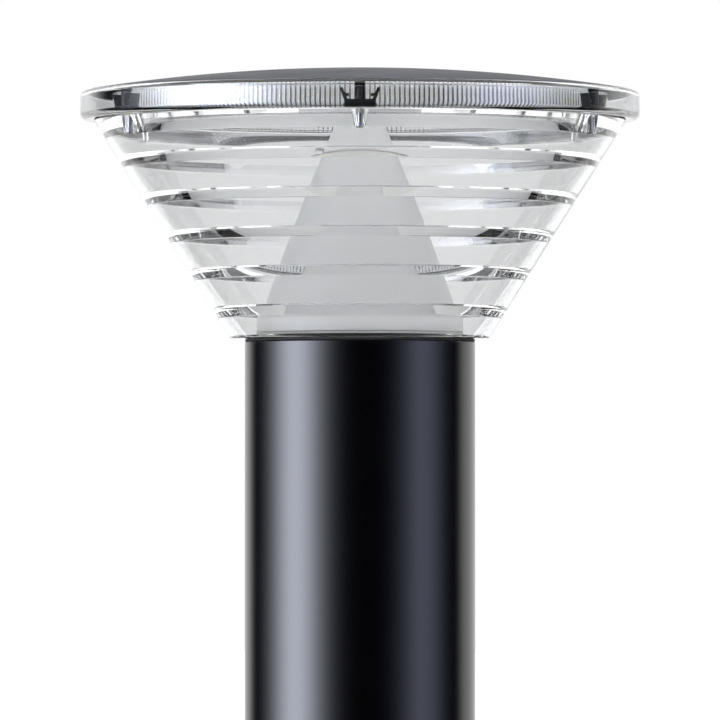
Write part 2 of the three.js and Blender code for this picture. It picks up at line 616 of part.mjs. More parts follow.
add('head_base', headBase(), CAST_BLACK);
add('lead_grommet', leadGrommet(), RUBBER);
add('head_set_screw_right', headSetScrew(HEAD_SET_SCREW_ANGLES[0]), BLACK_OXIDE);
add('head_set_screw_left', headSetScrew(HEAD_SET_SCREW_ANGLES[1]), BLACK_OXIDE);
add('post_top_gasket', ring(NECK_R + 0.6, POST_R - 0.2, POST_TOP + GAP, DIFFUSER_BOTTOM - GAP), RUBBER);
add('diffuser_gasket',
  ring(NECK_R + 0.6, DRUM_R, DIFFUSER_BOTTOM + DIFFUSER_FLOOR + GAP, NECK_TOP), SILICONE);
add('reflector', reflector(), REFLECTOR_WHITE);
REFLECTOR_SCREW_ANGLES.forEach((angle, i) => {
  add(`reflector_screw_${i + 1}`, reflectorScrew(angle), STEEL);
});

add('diffuser', diffuser(), CLEAR);
add('rim_ring', rimRing(), CLEAR);
clipAngles.forEach((angle, i) => {
  add(`cap_clip_${i + 1}`, capClip(angle), BLACK_PLASTIC);
  add(`cap_screw_${i + 1}`, capScrew(angle), STEEL);
});
add('cap_gasket', ring(CAP_R - 3, CAP_R - 0.1, RIM_LEDGE + GAP, CAP_EDGE_BOTTOM - GAP), RUBBER);
add('cap', cap(), CAP_PAINT);
add('heat_spreader', heatSpreader(), ALUMINIUM);
add('upper_reflector', upperReflector(), REFLECTOR_WHITE);
SPREADER_SCREW_ANGLES.forEach((angle, i) => {
  add(`spreader_screw_${i + 1}`, spreaderScrew(angle), STEEL);
});
add('led_board', rod(LED_BOARD_R, LED_BOARD_LOW, SPREADER_LOW - GAP, 36), BOARD_WHITE);
add('led_ring', ring(20, 28, LED_BOARD_LOW - 1.2, LED_BOARD_LOW - GAP, 36), PHOSPHOR);

export default assembly;
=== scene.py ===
"""Looks of the bollard light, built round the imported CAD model. Metres, +Z up, -Y is the front."""
import json
import math

import bmesh
import bpy
from mathutils import Matrix, Vector


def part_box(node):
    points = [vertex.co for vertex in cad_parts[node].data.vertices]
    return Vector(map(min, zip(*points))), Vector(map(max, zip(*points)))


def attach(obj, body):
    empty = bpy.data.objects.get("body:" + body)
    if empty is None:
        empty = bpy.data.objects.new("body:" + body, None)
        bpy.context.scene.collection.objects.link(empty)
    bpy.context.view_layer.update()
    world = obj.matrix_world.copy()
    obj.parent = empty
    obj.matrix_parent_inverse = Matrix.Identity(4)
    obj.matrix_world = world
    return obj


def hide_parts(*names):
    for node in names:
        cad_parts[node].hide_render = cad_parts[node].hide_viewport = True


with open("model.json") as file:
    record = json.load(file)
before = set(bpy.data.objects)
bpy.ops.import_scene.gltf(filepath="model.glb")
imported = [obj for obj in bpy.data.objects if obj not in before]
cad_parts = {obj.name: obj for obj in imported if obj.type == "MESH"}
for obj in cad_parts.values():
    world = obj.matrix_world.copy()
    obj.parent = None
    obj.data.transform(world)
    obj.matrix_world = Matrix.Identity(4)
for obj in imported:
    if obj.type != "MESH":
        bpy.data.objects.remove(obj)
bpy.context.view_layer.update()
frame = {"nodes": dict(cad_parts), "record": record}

MM = 0.001
TAU = math.tau
GAP = 0.3 * MM        # clearance kept between pieces that touch
FINE = 256            # facets round a large turned piece
ROUND = 32            # facets round a small one
SMALL = 24            # facets round the smallest
BEYOND = 10 * MM      # how far a cutting tool runs past what it cuts
CLIP_ANGLES = [math.radians(30 + 60 * i) for i in range(6)]
CLIP_CIRCLE = 159 * MM
CLIP_BORE_R = 1.8 * MM       # for the screw through a boss, a clip and a lug of the cap


# ---- places taken from the frame ---------------------------------------------------------------
def low(node):
    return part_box(node)[0]


def high(node):
    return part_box(node)[1]


def reach(node):
    """Outer radius of a piece that is turned about the post's axis."""
    return high(node).x


def middle(node):
    """Height of the middle of a piece."""
    return (low(node).z + high(node).z) / 2


POST_R = reach("post_tube")
POST_LOW, POST_TOP = low("post_tube").z, high("post_tube").z
POST_WALL = 3.5 * MM
CONE_LOW, CONE_TOP = low("diffuser").z, high("diffuser").z
RIM_R = reach("rim_ring")
RIM_LOW, RIM_TOP = low("rim_ring").z, high("rim_ring").z
CAP_R, CAP_TOP = reach("cap"), high("cap").z


# ---- mesh helpers ------------------------------------------------------------------------------
def new_object(name, verts, faces, sharp=40):
    mesh = bpy.data.meshes.new(name)
    mesh.from_pydata(verts, [], faces)
    mesh.update()
    return link(name, mesh, sharp)


def link(name, mesh, sharp=40):
    obj = bpy.data.objects.new(name, mesh)
    bpy.context.scene.collection.objects.link(obj)
    smooth(obj, sharp)
    return obj


def smooth(obj, sharp):
    mesh = obj.data
    mesh.polygons.foreach_set("use_smooth", [True] * len(mesh.polygons))
    mesh.set_sharp_from_angle(angle=math.radians(sharp))


def filleted(corners, steps=4, closed=True):
    """An outline through (x, y) or (x, y, radius) corners, with an arc at each of the latter."""
    points = []
    count = len(corners)
    for i, corner in enumerate(corners):
        here = Vector(corner[:2])
        radius = corner[2] if len(corner) > 2 else 0
        at_end = not closed and i in (0, count - 1)
        if not radius or at_end:
            points.append(tuple(here))
            continue
        back = (Vector(corners[i - 1][:2]) - here).normalized()
        on = (Vector(corners[(i + 1) % count][:2]) - here).normalized()
        half = back.angle(on) / 2
        centre = here + (back + on).normalized() * (radius / math.sin(half))
        first = here + back * (radius / math.tan(half)) - centre
        last = here + on * (radius / math.tan(half)) - centre
        sweep = first.angle_signed(last)
        for k in range(steps + 1):
            arm = Matrix.Rotation(-sweep * k / steps, 2) @ first
            points.append(tuple(centre + arm))
    return points


def turned(name, profile, sides=FINE, sharp=40, ripple=None):
    """A solid of revolution about Z. The (radius, z) profile runs anticlockwise and closes on
    itself, unless it starts and ends on the axis. ripple(angle, index) adds to a point's radius."""
    on_axis = profile[0][0] == 0 and profile[-1][0] == 0
    body = profile[1:-1] if on_axis else profile
    rows = len(body)
    verts = []
    for i in range(sides):
        angle = TAU * i / sides
        c, s = math.cos(angle), math.sin(angle)
        for j, (r, z) in enumerate(body):
            wide = r + (ripple(angle, j) if ripple else 0)
            verts.append((wide * c, wide * s, z))
    faces = []
    last = rows - 1 if on_axis else rows
    for i in range(sides):
        a, b = i * rows, ((i + 1) % sides) * rows
        for j in range(last):
            k = (j + 1) % rows
            faces.append((a + j, b + j, b + k, a + k))
    if on_axis:
        foot, tip = len(verts), len(verts) + 1
        verts += [(0, 0, profile[0][1]), (0, 0, profile[-1][1])]
        for i in range(sides):
            a, b = i * rows, ((i + 1) % sides) * rows
            faces.append((foot, b, a))
            faces.append((a + rows - 1, b + rows - 1, tip))
    return new_object(name, verts, faces, sharp)


def rod(name, radius, bottom, top, sides=ROUND):
    """An upright cylinder on the Z axis."""
    return turned(name, [(0, bottom), (radius, bottom), (radius, top), (0, top)], sides)


def prism(name, outline, depth):
    """An outline in the XY plane, anticlockwise, extruded from z = 0 to depth."""
    count = len(outline)
    verts = [(x, y, 0) for x, y in outline] + [(x, y, depth) for x, y in outline]
    faces = [tuple(reversed(range(count))), tuple(range(count, 2 * count))]
    for i in range(count):
        j = (i + 1) % count
        faces.append((i, j, count + j, count + i))
    return new_object(name, verts, faces)


def hexagon(radius):
    return [(radius * math.cos(TAU * k / 6), radius * math.sin(TAU * k / 6)) for k in range(6)]


def place(obj, *matrices):
    """Moves a piece's mesh by the product of the matrices, leaving its object at the origin."""
    whole = Matrix.Identity(4)
    for matrix in matrices:
        whole = whole @ matrix
    obj.data.transform(whole)
    return obj


def spin(angle):
    return Matrix.Rotation(angle, 4, "Z")


def shift(x=0.0, y=0.0, z=0.0):
    return Matrix.Translation((x, y, z))


OUTWARD = Matrix.Rotation(math.pi / 2, 4, "Y")     # turns +Z to +X


def around(obj, angle, radius, z=0.0):
    """Moves a piece out to a circle about the post's axis."""
    return place(obj, spin(angle), shift(x=radius, z=z))


def joined(name, objects):
    """One object from several that don't touch."""
    build = bmesh.new()
    for obj in objects:
        build.from_mesh(obj.data)
        bpy.data.objects.remove(obj)
    mesh = bpy.data.meshes.new(name)
    build.to_mesh(mesh)
    build.free()
    return link(name, mesh)


def combined(obj, tool, how, sharp=40):
    """The object with the tool cut from it or joined to it; the tool is used up."""
    step = obj.modifiers.new("step", "BOOLEAN")
    step.operation = how
    step.solver = "EXACT"
    step.object = tool
    baked(obj, sharp)
    bpy.data.objects.remove(tool)
    return obj


def baked(obj, sharp):
    """Applies the object's modifiers to its mesh."""
    view = bpy.context.evaluated_depsgraph_get()
    mesh = bpy.data.meshes.new_from_object(obj.evaluated_get(view))
    obj.modifiers.clear()
    obj.data = mesh
    smooth(obj, sharp)
    return obj


def softened(obj, width, angle=35):
    """Rounds the object's sharp edges."""
    edge = obj.modifiers.new("edge", "BEVEL")
    edge.width = width
    edge.segments = 2
    edge.limit_method = "ANGLE"
    edge.angle_limit = math.radians(angle)
    return baked(obj, 60)


# ---- material helpers --------------------------------------------------------------------------
def surface(name, color, roughness, **sockets):
    """A Principled material. Its other sockets are named in lower case, with underscores."""
    made = bpy.data.materials.new(name)
    made.use_nodes = True
    shader = made.node_tree.nodes["Principled BSDF"]
    shader.inputs["Base Color"].default_value = (*color, 1)
    shader.inputs["Roughness"].default_value = roughness
    for socket, value in sockets.items():
        shader.inputs[socket.replace("_", " ").title().replace("Ior", "IOR")].default_value = value
    return made


def node(material, kind, **values):
    made = material.node_tree.nodes.new(kind)
    for key, value in values.items():
        made.inputs[key].default_value = value
    return made


def wire(material, source, target):
    material.node_tree.links.new(source, target)


def shader_of(material):
    return material.node_tree.nodes["Principled BSDF"]


def places(material, scale=(1, 1, 1)):
    """Object coordinates, stretched by scale."""
    where = node(material, "ShaderNodeTexCoord")
    mapping = node(material, "ShaderNodeMapping")
    mapping.inputs["Scale"].default_value = scale
    wire(material, where.outputs["Object"], mapping.inputs["Vector"])
    return mapping.outputs["Vector"]


def noise(material, scale, detail=3.0, stretch=(1, 1, 1)):
    made = node(material, "ShaderNodeTexNoise", Scale=scale, Detail=detail)
    wire(material, places(material, stretch), made.inputs["Vector"])
    return made.outputs["Fac"]


NOISE_LOW, NOISE_HIGH = 0.3, 0.7      # where nearly all of a noise lies


def ranged(material, source, least, most):
    """Maps a noise to least..most."""
    made = node(material, "ShaderNodeMapRange")
    made.inputs["From Min"].default_value = NOISE_LOW
    made.inputs["From Max"].default_value = NOISE_HIGH
    made.inputs["To Min"].default_value = least
    made.inputs["To Max"].default_value = most
    wire(material, source, made.inputs["Value"])
    return made.outputs["Result"]


def mottled(material, dark, light, scale):
    """Colour that drifts between two close tones."""
    ramp = node(material, "ShaderNodeValToRGB")
    ramp.color_ramp.elements[0].position = 0.35
    ramp.color_ramp.elements[1].position = 0.65
    ramp.color_ramp.elements[0].color = (*dark, 1)
    ramp.color_ramp.elements[1].color = (*light, 1)
    wire(material, noise(material, scale), ramp.inputs["Fac"])
    wire(material, ramp.outputs["Color"], shader_of(material).inputs["Base Color"])


def uneven_gloss(material, least, most, scale):
    drift = ranged(material, noise(material, scale), least, most)
    wire(material, drift, shader_of(material).inputs["Roughness"])


def grained(material, scale, depth, strength=1.0, detail=2.0, stretch=(1, 1, 1)):
    """Fine relief. depth is the height of the grain in metres."""
    bump = node(material, "ShaderNodeBump")
    bump.inputs["Distance"].default_value = depth
    bump.inputs["Strength"].default_value = strength
    wire(material, noise(material, scale, detail, stretch), bump.inputs["Height"])
    wire(material, bump.outputs["Normal"], shader_of(material).inputs["Normal"])


# ---- materials ---------------------------------------------------------------------------------
POLYCARBONATE_IOR = 1.586


def black_powder_coat():
    made = surface("black_powder_coat", (0.0006, 0.0006, 0.0009), 0.16)
    mottled(made, (0.0005, 0.0005, 0.0008), (0.0007, 0.0007, 0.0010), 40)
    uneven_gloss(made, 0.15, 0.17, 25)
    grained(made, 2600, 12e-6, 0.35)
    return made


def black_casting():
    made = surface("black_casting", (0.012, 0.012, 0.014), 0.5)
    mottled(made, (0.010, 0.010, 0.012), (0.016, 0.016, 0.018), 60)
    grained(made, 1400, 60e-6, 0.6)
    return made


def cap_grey():
    made = surface("cap_grey", (0.07, 0.075, 0.088), 0.36, specular_ior_level=0.35)
    mottled(made, (0.067, 0.072, 0.085), (0.073, 0.078, 0.091), 45)
    uneven_gloss(made, 0.33, 0.40, 30)
    grained(made, 2200, 20e-6, 0.5)
    return made


def reflector_white():
    made = surface("reflector_white", (0.9, 0.905, 0.92), 0.36, metallic=0.15)
    mottled(made, (0.89, 0.895, 0.91), (0.91, 0.915, 0.925), 30)
    uneven_gloss(made, 0.38, 0.46, 40)
    grained(made, 900, 20e-6, 0.4, stretch=(0.1, 0.1, 1))
    return made


def painted_shade_black(name):
    """Black without any shine, for the inside of the cap: painted shade, so that what is seen of the
    cap's underside through the clear steps reads as dark shade.
    """
    made = surface(name, (0.004, 0.004, 0.005), 0.8, specular_ior_level=0.0)
    mottled(made, (0.0035, 0.0035, 0.004), (0.0045, 0.0045, 0.005), 60)
    grained(made, 1400, 60e-6, 0.6)
    return made


def clear_plastic(name, color, roughness, waviness):
    """Clear polycarbonate. Each wall tints the light that crosses it by color, once. waviness is
    the height of its slow ripple in metres."""
    made = surface(name, color, roughness, ior=POLYCARBONATE_IOR, transmission_weight=1.0)
    uneven_gloss(made, roughness * 0.6, roughness * 1.4, 60)
    grained(made, 55, waviness, 0.5, detail=1)
    return made


def plain_metal(name, color, roughness, scale=900):
    made = surface(name, color, roughness, metallic=1.0)
    mottled(made, tuple(0.92 * c for c in color), color, 120)
    uneven_gloss(made, roughness * 0.85, roughness * 1.2, 150)
    grained(made, scale, 8e-6, 0.4)
    return made


def moulded(name, color, roughness, scale=1500):
    made = surface(name, color, roughness)
    mottled(made, tuple(0.93 * c for c in color), color, 90)
    uneven_gloss(made, roughness * 0.9, roughness * 1.1, 80)
    grained(made, scale, 20e-6, 0.5)
    return made


LOOKS = {
    "black_powder_coat": black_powder_coat(),
    "black_casting": black_casting(),
    "zinc_plated_steel": plain_metal("zinc_plated_steel", (0.52, 0.54, 0.55), 0.42, 400),
    "stainless_steel": plain_metal("stainless_steel", (0.6, 0.61, 0.62), 0.28),
    "black_oxide_steel": plain_metal("black_oxide_steel", (0.05, 0.05, 0.055), 0.38),
    "grey_plastic": moulded("grey_plastic", (0.4, 0.41, 0.42), 0.5),
    "white_plastic": moulded("white_plastic", (0.8, 0.8, 0.78), 0.45),
    "black_plastic": moulded("black_plastic", (0.012, 0.012, 0.013), 0.42),
    "black_rubber": moulded("black_rubber", (0.014, 0.014, 0.014), 0.75, 2500),
    "earth_sheath": moulded("earth_sheath", (0.35, 0.5, 0.06), 0.5),
    "clear_silicone": moulded("clear_silicone", (0.72, 0.73, 0.74), 0.5),
    "brass": plain_metal("brass", (0.65, 0.48, 0.22), 0.3),
    "reflector_white": reflector_white(),
    "clear_polycarbonate": clear_plastic("clear_polycarbonate", (0.855, 0.862, 0.865), 0.01, 20e-6),
    "cap_grey": cap_grey(),
    "aluminium": plain_metal("aluminium", (0.75, 0.76, 0.77), 0.35, 500),
    "board_white": moulded("board_white", (0.85, 0.85, 0.83), 0.35),
    "phosphor": moulded("phosphor", (0.88, 0.7, 0.22), 0.5),
}
RIM_CLEAR = clear_plastic("clear_polycarbonate_rim", (0.865, 0.875, 0.885), 0.03, 40e-6)
# Shine-free near-black for the cap's underside: painted shade, which turns the streaks seen through
# the diffuser's steps black.
CAP_PAINTED_SHADE = painted_shade_black("cap_painted_shade")


def finished(obj, slot, body, *nodes):
    """Gives a piece its material and its body, and lets it stand for CAD nodes."""
    flat = obj.modifiers.new("flat_faces_stay_flat", "WEIGHTED_NORMAL")
    flat.keep_sharp = True
    flat.weight = 100           # large faces decide
    obj.data.materials.clear()
    obj.data.materials.append(LOOKS[slot])
    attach(obj, body)
    if nodes:
        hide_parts(*nodes)
    return obj


# ---- post and base -----------------------------------------------------------------------------
DOOR_GAP = 0.8 * MM
DOOR_LOW, DOOR_HIGH = low("door_panel").z - DOOR_GAP, high("door_panel").z + DOOR_GAP
DOOR_HALF = high("door_panel").x + DOOR_GAP
DOOR_CORNER = 12 * MM
DOOR_SKIN = 2.3 * MM
DOOR_SCREWS = ("door_screw_lower", "door_screw_upper")
POST_SCREW_ANGLES = [math.radians(45 + 90 * i) for i in range(4)]
POST_SCREW_Z = middle("post_fixing_screw_1")
SET_SCREW_ANGLES = [math.radians(50), math.radians(130)]
SET_SCREW_Z = middle("head_set_screw_left")
WALL_DRILL = (50 * MM, 80 * MM)       # where a drill through the post's wall starts and ends
DOOR_DRILL = (40 * MM, 90 * MM)


def door_cutter(name, inset):
    """A rounded slab across the post's back, smaller than the door opening by inset."""
    near, far = 30 * MM, 90 * MM
    half, corner = DOOR_HALF - inset, DOOR_CORNER - inset
    bottom, top = DOOR_LOW + inset, DOOR_HIGH - inset
    outline = filleted([(-half, -top, corner), (half, -top, corner), (half, -bottom, corner),
                        (-half, -bottom, corner)], 8)
    slab = prism(name, outline, far - near)
    return place(slab, shift(y=near), Matrix.Rotation(-math.pi / 2, 4, "X"))


def radial_rod(name, radius, angle, z, near, far):
    """A rod that points outward from the post's axis."""
    return place(rod(name, radius, near, far), shift(z=z), spin(angle), OUTWARD)


def make_post():
    edge = 0.5 * MM
    inner = POST_R - POST_WALL
    post_hole_r, set_hole_r = 3.3 * MM, 3.4 * MM
    tube = turned("post_shell", filleted([
        (inner, POST_LOW, edge), (POST_R, POST_LOW, edge), (POST_R, POST_TOP, edge),
        (inner, POST_TOP, edge)], 3))
    tools = [door_cutter("cut", 0)]
    tools += [radial_rod("cut", post_hole_r, a, POST_SCREW_Z, *WALL_DRILL)
              for a in POST_SCREW_ANGLES]
    tools += [radial_rod("cut", set_hole_r, a, SET_SCREW_Z, *WALL_DRILL)
              for a in SET_SCREW_ANGLES]
    combined(tube, joined("cuts", tools), "DIFFERENCE", 30)
    finished(tube, "black_powder_coat", "bollard", "post_tube")


def make_door():
    """A piece of the post's own curve, with a hole for each screw."""
    inner, bottom, top = POST_R - DOOR_SKIN, DOOR_LOW - BEYOND, DOOR_HIGH + BEYOND
    hole_r = 2.9 * MM
    shell = turned("door_skin", [(inner, bottom), (POST_R, bottom), (POST_R, top), (inner, top)])
    combined(shell, door_cutter("keep", DOOR_GAP), "INTERSECT")
    holes = [radial_rod("hole", hole_r, math.pi / 2, middle(n), *DOOR_DRILL) for n in DOOR_SCREWS]
    combined(shell, joined("holes", holes), "DIFFERENCE", 30)
    softened(shell, 0.35 * MM)
    finished(shell, "black_powder_coat", "service_door", "door_panel")


def socket_screw(name, head_r, head_high, shank_r, shank_long, socket_r):
    """A button-head screw standing on +Z with a hexagon socket in its head."""
    body = turned(name, filleted([
        (0, -shank_long), (shank_r, -shank_long, 0.2 * MM), (shank_r, 0), (head_r, 0, 0.15 * MM),
        (head_r, head_high * 0.45, head_r * 0.25), (head_r * 0.62, head_high, head_r * 0.4),
        (0, head_high)], 5, closed=False), ROUND)
    deep = head_high * 0.6
    key = place(prism("key", hexagon(socket_r), head_high), shift(z=head_high - deep))
    return combined(body, key, "DIFFERENCE", 35)


def make_post_screws():
    for i, angle in enumerate(POST_SCREW_ANGLES):
        screw = socket_screw(f"base_bolt_{i + 1}", head_r=5.2 * MM, head_high=2.7 * MM,
                             shank_r=2.4 * MM, shank_long=11 * MM, socket_r=2.3 * MM)
        place(screw, shift(z=POST_SCREW_Z), spin(angle), OUTWARD, shift(z=POST_R + GAP))
        finished(screw, "stainless_steel", "bollard", f"post_fixing_screw_{i + 1}")
    for node_name in DOOR_SCREWS:
        screw = socket_screw(node_name.replace("screw", "bolt"), head_r=4.6 * MM,
                             head_high=2.4 * MM, shank_r=2.3 * MM, shank_long=13 * MM,
                             socket_r=2.1 * MM)
        place(screw, shift(z=middle(node_name)), spin(math.pi / 2), OUTWARD, shift(z=POST_R + GAP))
        finished(screw, "stainless_steel", "service_door", node_name)


def make_set_screws():
    """Headless screws sunk in the post's wall, each with a hexagon socket."""
    radius, long, sunk = 2.9 * MM, 8.8 * MM, 9.2 * MM
    socket_r, socket_foot = 1.6 * MM, 5.5 * MM
    for side, angle in zip(("right", "left"), SET_SCREW_ANGLES):
        screw = turned(f"grub_screw_{side}", filleted([
            (0, 0), (radius, 0, 0.3 * MM), (radius, long, 0.4 * MM), (0, long)],
            3, closed=False), ROUND)
        key = place(prism("key", hexagon(socket_r), 6 * MM), shift(z=socket_foot))
        combined(screw, key, "DIFFERENCE", 35)
        place(screw, shift(z=SET_SCREW_Z), spin(angle), OUTWARD, shift(z=POST_R - sunk))
        finished(screw, "black_oxide_steel", "bollard", f"head_set_screw_{side}")


def make_base():
    """A round foot with a hub inside the post and four slots for anchor bolts."""
    thick, hub_r, hub_wall, hole = 10 * MM, 66 * MM, 8 * MM, 40 * MM
    rim, hub_top = reach("base_flange"), high("base_flange").z
    hub_hole_r = 3 * MM
    body = turned("foot_flange", filleted([
        (hole, 0, 0.5 * MM), (rim, 0, 1 * MM), (rim, thick, 2.2 * MM), (hub_r, thick, 0.6 * MM),
        (hub_r, hub_top, 0.8 * MM), (hub_r - hub_wall, hub_top, 0.8 * MM),
        (hub_r - hub_wall, thick, 1.5 * MM), (hole, thick, 0.8 * MM)], 4))
    slot_circle, half, slot_end = 84 * MM, 6 * MM, 12 * MM
    round_end = half * 0.999           # just under a half circle, so that no two points meet
    slot_outline = filleted([(-half, -slot_end, round_end), (half, -slot_end, round_end),
                             (half, slot_end, round_end), (-half, slot_end, round_end)], 8)
    tools = []
    for angle in POST_SCREW_ANGLES:
        tools.append(around(prism("slot", slot_outline, 30 * MM), angle, slot_circle, -BEYOND))
        tools.append(radial_rod("hole", hub_hole_r, angle, POST_SCREW_Z, *WALL_DRILL))
    combined(body, joined("tools", tools), "DIFFERENCE", 35)
    softened(body, 0.4 * MM, angle=50)
    finished(body, "black_casting", "bollard", "base_flange")


# ---- head --------------------------------------------------------------------------------------
CONE_LOW_R = 78.4 * MM
CONE_TOP_R = 161.7 * MM
CONE_WALL = 3.5 * MM
CONE_FLOOR = 2.6 * MM
NECK_R = 58.6 * MM
STEP_COUNT = 5
STEP_FIRST_TOP = 856.6 * MM
STEP_PITCH = 22.9 * MM
STEP_RISER = 6.4 * MM
TOP_RISER_FOOT = 959.4 * MM       # the uppermost riser runs from here to the top
BOSS_LOW = 957.6 * MM
BOSS_LOW_R, BOSS_HIGH_R = 3.3 * MM, 5.3 * MM
SCREW_POCKET_R, SCREW_POCKET_DEEP = 2.6 * MM, 3 * MM


def cone_radius(z):
    return CONE_LOW_R + (z - CONE_LOW) * (CONE_TOP_R - CONE_LOW_R) / (CONE_TOP - CONE_LOW)


def make_diffuser():
    """A clear cone whose inside is a flight of steps, with a boss under the rim at each clip."""
    crisp, soft = 0.12 * MM, 1.4 * MM

    def inner(z):
        return cone_radius(z) - CONE_WALL

    floor = CONE_LOW + CONE_FLOOR
    corners = [
        (NECK_R, CONE_LOW, crisp), (CONE_LOW_R - 0.2 * MM, CONE_LOW, soft),
        (CONE_TOP_R, CONE_TOP, crisp), (inner(TOP_RISER_FOOT), CONE_TOP, crisp),
        (inner(TOP_RISER_FOOT), TOP_RISER_FOOT, soft),
    ]
    for i in reversed(range(STEP_COUNT)):
        tread = STEP_FIRST_TOP + i * STEP_PITCH
        foot = tread - STEP_RISER
        corners += [(inner(tread), tread, crisp), (inner(foot), tread, crisp),
                    (inner(foot), foot, soft)]
    corners += [(inner(floor), floor, crisp), (NECK_R, floor, crisp)]
    shell = turned("diffuser_shell", filleted(corners, 4), 360, 30)
    boss_high, pocket_top = CONE_TOP - 0.5 * MM, BOSS_LOW + SCREW_POCKET_DEEP
    bore_low, bore_high = BOSS_LOW - 5 * MM, CONE_TOP + 5 * MM
    bosses, bores = [], []
    for angle in CLIP_ANGLES:
        boss = turned("boss", filleted([
            (0, BOSS_LOW), (BOSS_LOW_R, BOSS_LOW, 0.8 * MM), (BOSS_HIGH_R, boss_high),
            (0, boss_high)], 4, closed=False), ROUND)
        bosses.append(around(boss, angle, CLIP_CIRCLE))
        bore = turned("bore", [(0, bore_low), (SCREW_POCKET_R, bore_low),
                               (SCREW_POCKET_R, pocket_top), (CLIP_BORE_R, pocket_top),
                               (CLIP_BORE_R, bore_high), (0, bore_high)], ROUND)
        bores.append(around(bore, angle, CLIP_CIRCLE))
    combined(shell, joined("bosses", bosses), "UNION", 30)
    combined(shell, joined("bores", bores), "DIFFERENCE", 30)
    finished(shell, "clear_polycarbonate", "bollard", "diffuser")


RIM_INSIDE = 148.5 * MM
RIM_INSIDE_TOP = 984.4 * MM
RIB_COUNT = 320
RIB_DEPTH = 1.2 * MM
RIB_FACETS = 8


def make_rim():
    """A clear channel. The inner wall is covered with upright half-round ribs."""
    web = RIM_LOW + 1.8 * MM
    wall, seat = CAP_R - 1.3 * MM, CAP_R + GAP
    ledge = low("cap_gasket").z - GAP
    behind = RIM_INSIDE + 2 * MM          # back of the inner wall
    lower_corner, upper_corner, root, lip = 4 * MM, 3.19 * MM, 0.6 * MM, 0.4 * MM
    profile = filleted([
        (RIM_INSIDE, RIM_LOW, 0.3 * MM), (RIM_R, RIM_LOW, lower_corner),
        (RIM_R, RIM_TOP, upper_corner), (seat, RIM_TOP), (seat, ledge), (wall, ledge),
        (wall, web, root), (behind, web, root), (behind, RIM_INSIDE_TOP, lip),
        (RIM_INSIDE, RIM_INSIDE_TOP, lip)], 8)
    profile += [(RIM_INSIDE, RIM_INSIDE_TOP - 0.8 * MM), (RIM_INSIDE, RIM_LOW + 1.2 * MM)]
    ribbed = {len(profile) - 2, len(profile) - 1}

    def ripple(angle, j):
        """Half an ellipse for each rib."""
        across = 2 * (angle * RIB_COUNT / TAU % 1) - 1
        return -RIB_DEPTH * math.sqrt(1 - across * across) if j in ribbed else 0

    ring = turned("rim_lens", profile, RIB_COUNT * RIB_FACETS, 30, ripple)
    holes = [around(rod("hole", CLIP_BORE_R, RIM_LOW - 5 * MM, web + 5 * MM), a, CLIP_CIRCLE)
             for a in CLIP_ANGLES]
    combined(ring, joined("holes", holes), "DIFFERENCE", 30)
    finished(ring, "clear_polycarbonate", "bollard", "rim_ring")
    ring.data.materials[0] = RIM_CLEAR


LUG_R = 2.9 * MM          # a lug of the cap, and the clip's sleeve under it


def make_clips():
    """Dark moulded clips: a foot with a sleeve round its screw, and two arms that lean out."""
    foot = RIM_LOW + 2.1 * MM
    wide = 5 * MM
    sleeve_low, sleeve_top = 2.8 * MM, low("cap").z - GAP - foot
    half = [(8.2, 0), (12, 10), (10, 10), (8.9, 6.6), (6.4, 6.6), (6.4, 4.9), (8.1, 4.9),
            (7.2, 3.2)]
    outline = [(x * MM, y * MM) for x, y in half]
    outline += [(-x * MM, y * MM) for x, y in reversed(half)]
    stand = Matrix.Rotation(math.pi / 2, 4, "Z") @ Matrix.Rotation(math.pi / 2, 4, "X")
    for i, angle in enumerate(CLIP_ANGLES):
        clip = prism(f"rim_clip_{i + 1}", outline, wide)
        place(clip, stand, shift(z=-wide / 2))
        combined(clip, rod("sleeve", LUG_R, sleeve_low, sleeve_top, SMALL), "UNION")
        combined(clip, rod("bore", CLIP_BORE_R, -5 * MM, 20 * MM, SMALL), "DIFFERENCE")
        softened(clip, 0.3 * MM)
        around(clip, angle, CLIP_CIRCLE, foot)
        finished(clip, "black_plastic", "bollard", f"cap_clip_{i + 1}")


def make_cap_screws():
    """Socket screws, head down, one up through each boss and clip into the cap."""
    head_r, head_high, shank_r, socket_r = 2.1 * MM, 1.8 * MM, 1.4 * MM, 1.1 * MM
    for i, angle in enumerate(CLIP_ANGLES):
        node_name = f"cap_screw_{i + 1}"
        head, top = low(node_name).z, high(node_name).z
        screw = turned(f"rim_screw_{i + 1}", filleted([
            (0, head), (head_r, head, 0.4 * MM), (head_r, head + head_high),
            (shank_r, head + head_high), (shank_r, top, 0.3 * MM), (0, top)],
            3, closed=False), SMALL)
        key = place(prism("key", hexagon(socket_r), 2 * MM), shift(z=head - 1 * MM))
        combined(screw, key, "DIFFERENCE", 35)
        around(screw, angle, CLIP_CIRCLE)
        finished(screw, "stainless_steel", "bollard", node_name)


CAP_SPHERE_R = 1050 * MM
CAP_SKIN = 2.4 * MM
CAP_EDGE = 985 * MM                   # underside of the cap's edge
CAP_EDGE_INNER_R = 162.8 * MM
CAP_LAND_R, CAP_LAND = 58 * MM, 990.6 * MM     # flat seat of the heat spreader
LUG_TOP = 986.6 * MM
LUG_BORE_LOW, LUG_BORE_TOP = 980 * MM, 985.2 * MM


